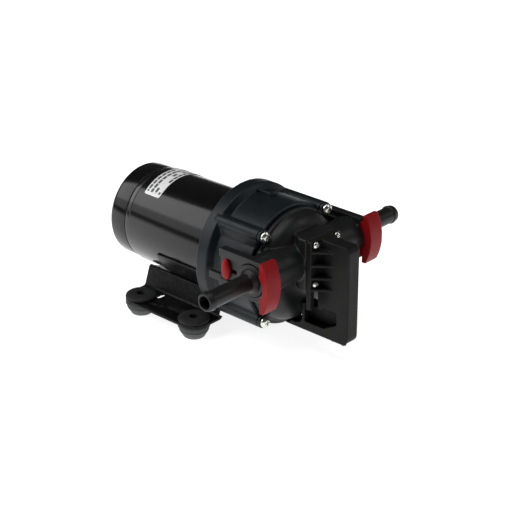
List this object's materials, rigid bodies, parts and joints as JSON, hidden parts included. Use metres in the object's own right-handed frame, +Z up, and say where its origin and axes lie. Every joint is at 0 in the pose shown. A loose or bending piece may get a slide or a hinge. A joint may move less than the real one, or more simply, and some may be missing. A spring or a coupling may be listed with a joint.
{
  "type": "diaphragm bilge pump",
  "caption": "Motor-driven diaphragm pump with quick-connect hose tails, red slide clips, a front pressure switch and a rubber-footed base.",
  "frame": {"origin": "on the surface that the four feet stand on, under the bottom centre of the whole pump to within 1 mm", "axes": "+X along the motor axis towards the pump head and switch, +Y towards the outlet, +Z up"},
  "size_m": [0.214, 0.2056, 0.1136],
  "materials": {
    "motor_paint": "high-gloss black paint",
    "housing_plastic": "satin dark blue-grey glass-filled nylon",
    "head_plastic": "satin black glass-filled nylon",
    "switch_plastic": "satin brown-black plastic",
    "fitting_nylon": "satin black nylon",
    "clip_red": "satin-gloss red acetal",
    "bracket_paint": "satin black powder coat",
    "rubber": "matte dark grey rubber",
    "stainless": "bright stainless steel",
    "bright_steel": "ground steel",
    "copper": "enamelled copper",
    "ferrite": "sintered ferrite",
    "carbon": "graphite",
    "die_cast": "die-cast",
    "label_foil": "printed silver-white foil",
    "white_nylon": "natural nylon"
  },
  "bodies": {
    "root": {"base_bracket": "bracket_paint", "brush_holder": "white_nylon", "brush_lower": "carbon", "brush_upper": "carbon", "diaphragm": "rubber", "drive_housing": "housing_plastic", "end_bell_seal": "rubber", "front_bearing": "bright_steel", "head_screw_1": "stainless", "head_screw_2": "stainless", "head_screw_3": "stainless", "head_screw_4": "stainless", "head_seal": "rubber", "inlet_valve_1": "rubber", "inlet_valve_2": "rubber", "inlet_valve_3": "rubber", "inlet_valve_4": "rubber", "inlet_valve_5": "rubber", "magnet_far": "ferrite", "magnet_near": "ferrite", "microswitch": "switch_plastic", "motor_cable_gland": "rubber", "motor_can": "motor_paint", "motor_end_bell": "motor_paint", "motor_front_plate": "die_cast", "motor_saddle": "bracket_paint", "motor_screw_1": "stainless", "motor_screw_2": "stainless", "outlet_valve": "rubber", "pump_head": "head_plastic", "rating_label": "label_foil", "rear_bearing": "bright_steel", "rubber_foot_front_far": "rubber", "rubber_foot_front_near": "rubber", "rubber_foot_rear_far": "rubber", "rubber_foot_rear_near": "rubber", "supply_cable_gland": "rubber", "switch_cover": "switch_plastic", "switch_diaphragm": "rubber", "switch_housing": "switch_plastic", "switch_screw_1": "stainless", "switch_screw_2": "stainless", "switch_screw_3": "stainless", "switch_screw_4": "stainless", "switch_spring": "stainless", "valve_plate": "white_nylon", "wobble_plate": "white_nylon"},
    "rotor": {"motor_shaft": "stainless", "armature_core": "bright_steel", "armature_winding": "copper", "commutator": "copper", "wobble_hub": "bright_steel", "wobble_bearing": "bright_steel"},
    "inlet_hose_tail": {"inlet_fitting": "fitting_nylon", "inlet_o_ring": "rubber"},
    "outlet_hose_tail": {"outlet_fitting": "fitting_nylon", "outlet_o_ring": "rubber"},
    "inlet_slide": {"inlet_clip": "clip_red"},
    "outlet_slide": {"outlet_clip": "clip_red"},
    "plunger": {"switch_plunger": "white_nylon"}
  },
  "joints": [
    {"name": "rotor_spin", "type": "hinge", "parent": "root", "child": "rotor", "pos_m": [0, 0, 0.0616], "axis": [1, 0, 0], "continuous": true},
    {"name": "inlet_swivel", "type": "hinge", "parent": "root", "child": "inlet_hose_tail", "pos_m": [0.06, -0.069, 0.0721], "axis": [0, 1, 0], "continuous": true},
    {"name": "outlet_swivel", "type": "hinge", "parent": "root", "child": "outlet_hose_tail", "pos_m": [0.06, 0.069, 0.0721], "axis": [0, 1, 0], "continuous": true},
    {"name": "inlet_clip_slide", "type": "slide", "parent": "root", "child": "inlet_slide", "axis": [1, 0, 0], "range_m": [0, 0.007]},
    {"name": "outlet_clip_slide", "type": "slide", "parent": "root", "child": "outlet_slide", "axis": [1, 0, 0], "range_m": [0, 0.007]},
    {"name": "switch_plunger_travel", "type": "slide", "parent": "root", "child": "plunger", "axis": [1, 0, 0], "range_m": [0, 0.0008], "stiffness_N_per_m": 600}
  ]
}
